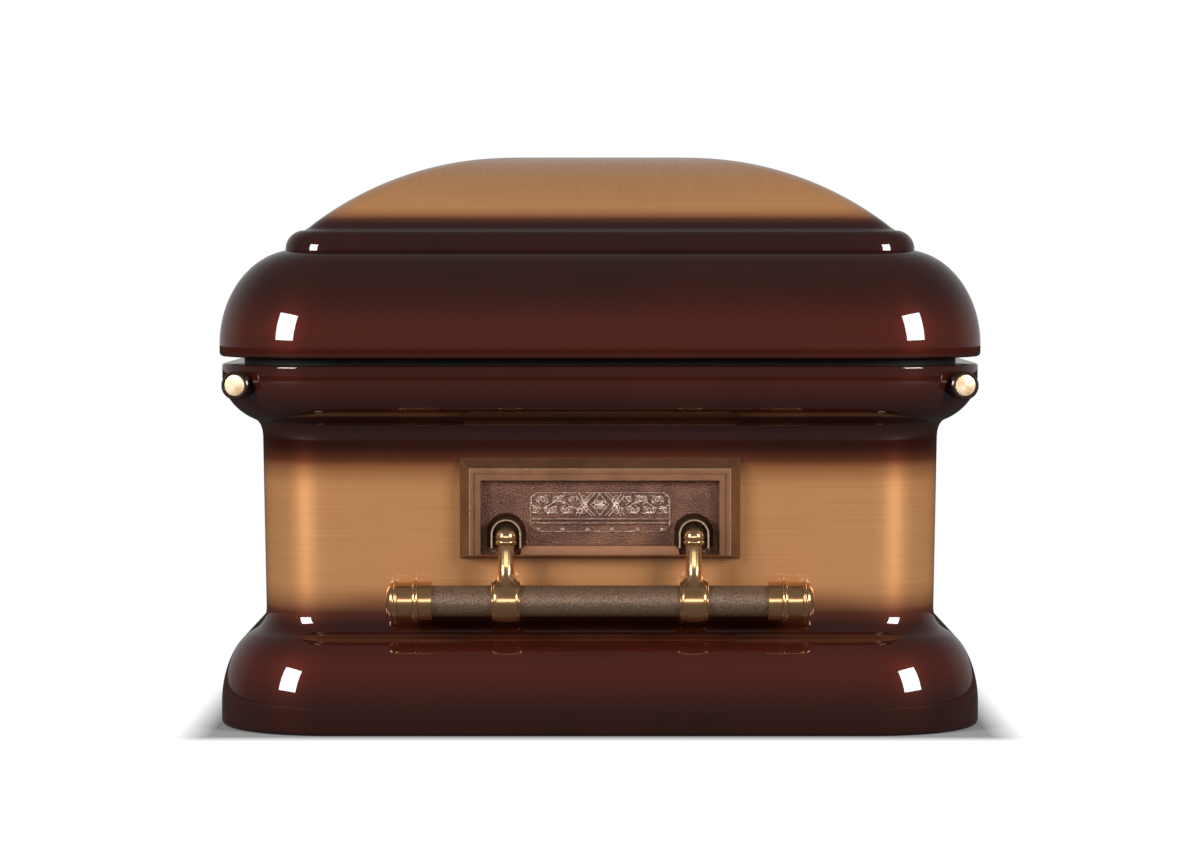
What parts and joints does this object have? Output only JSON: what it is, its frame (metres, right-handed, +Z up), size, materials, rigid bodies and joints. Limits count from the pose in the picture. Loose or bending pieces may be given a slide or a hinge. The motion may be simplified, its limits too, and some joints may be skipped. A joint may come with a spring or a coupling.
{
  "type": "funeral casket",
  "caption": "Round-cornered metal funeral casket with a domed lift-off lid on a gasket, corner studs and swing-bar carrying handles on plates.",
  "frame": {"origin": "centre of the footprint, on the underside", "axes": "+Z up, +Y along the length away from the pictured end, +X to the right of that end"},
  "size_m": [0.7538, 2.1508, 0.553],
  "materials": {
    "bronze_shell": "brushed and lacquered, gold fading to dark red-brown at the edges",
    "gasket": "matt black",
    "dark_lacquer": "gloss dark red-brown",
    "pale_gold": "spun, satin",
    "antique_bronze": "antiqued, rubbed bright on the raised lines",
    "pebbled_grip": "pebbled, satin",
    "hinge_pin": "dark",
    "bright_brass": "polished"
  },
  "bodies": {
    "casket": {"casket_body": "bronze_shell", "lid": "bronze_shell", "lid_gasket": "gasket", "corner_stud_front_left": "dark_lacquer", "corner_stud_front_right": "dark_lacquer", "corner_stud_back_left": "dark_lacquer", "corner_stud_back_right": "dark_lacquer", "stud_disc_front_left": "pale_gold", "stud_disc_front_right": "pale_gold", "stud_disc_back_left": "pale_gold", "stud_disc_back_right": "pale_gold", "front_handle_plate": "antique_bronze", "right_handle_plate": "antique_bronze", "back_handle_plate": "antique_bronze", "left_handle_plate": "antique_bronze", "front_handle_pin_left": "hinge_pin", "front_handle_pin_right": "hinge_pin", "right_handle_pin_left": "hinge_pin", "right_handle_pin_right": "hinge_pin", "back_handle_pin_left": "hinge_pin", "back_handle_pin_right": "hinge_pin", "left_handle_pin_left": "hinge_pin", "left_handle_pin_right": "hinge_pin"},
    "front_handle": {"front_handle_bar": "pebbled_grip", "front_handle_arm_left": "bright_brass", "front_handle_arm_right": "bright_brass", "front_handle_cap_left": "bright_brass", "front_handle_cap_right": "bright_brass"},
    "right_handle": {"right_handle_bar": "pebbled_grip", "right_handle_arm_left": "bright_brass", "right_handle_arm_right": "bright_brass", "right_handle_cap_left": "bright_brass", "right_handle_cap_right": "bright_brass"},
    "back_handle": {"back_handle_bar": "pebbled_grip", "back_handle_arm_left": "bright_brass", "back_handle_arm_right": "bright_brass", "back_handle_cap_left": "bright_brass", "back_handle_cap_right": "bright_brass"},
    "left_handle": {"left_handle_bar": "pebbled_grip", "left_handle_arm_left": "bright_brass", "left_handle_arm_right": "bright_brass", "left_handle_cap_left": "bright_brass", "left_handle_cap_right": "bright_brass"}
  },
  "joints": [
    {"name": "front_handle_swing", "type": "hinge", "parent": "casket", "child": "front_handle", "pos_m": [0, -1.04981, 0.18758], "axis": [-1, 0, 0], "range_deg": [0, 84]},
    {"name": "right_handle_swing", "type": "hinge", "parent": "casket", "child": "right_handle", "pos_m": [0.35131, 0, 0.18758], "axis": [0, -1, 0], "range_deg": [0, 84]},
    {"name": "back_handle_swing", "type": "hinge", "parent": "casket", "child": "back_handle", "pos_m": [0, 1.04981, 0.18758], "axis": [1, 0, 0], "range_deg": [0, 84]},
    {"name": "left_handle_swing", "type": "hinge", "parent": "casket", "child": "left_handle", "pos_m": [-0.35131, 0, 0.18758], "axis": [0, 1, 0], "range_deg": [0, 84]}
  ]
}
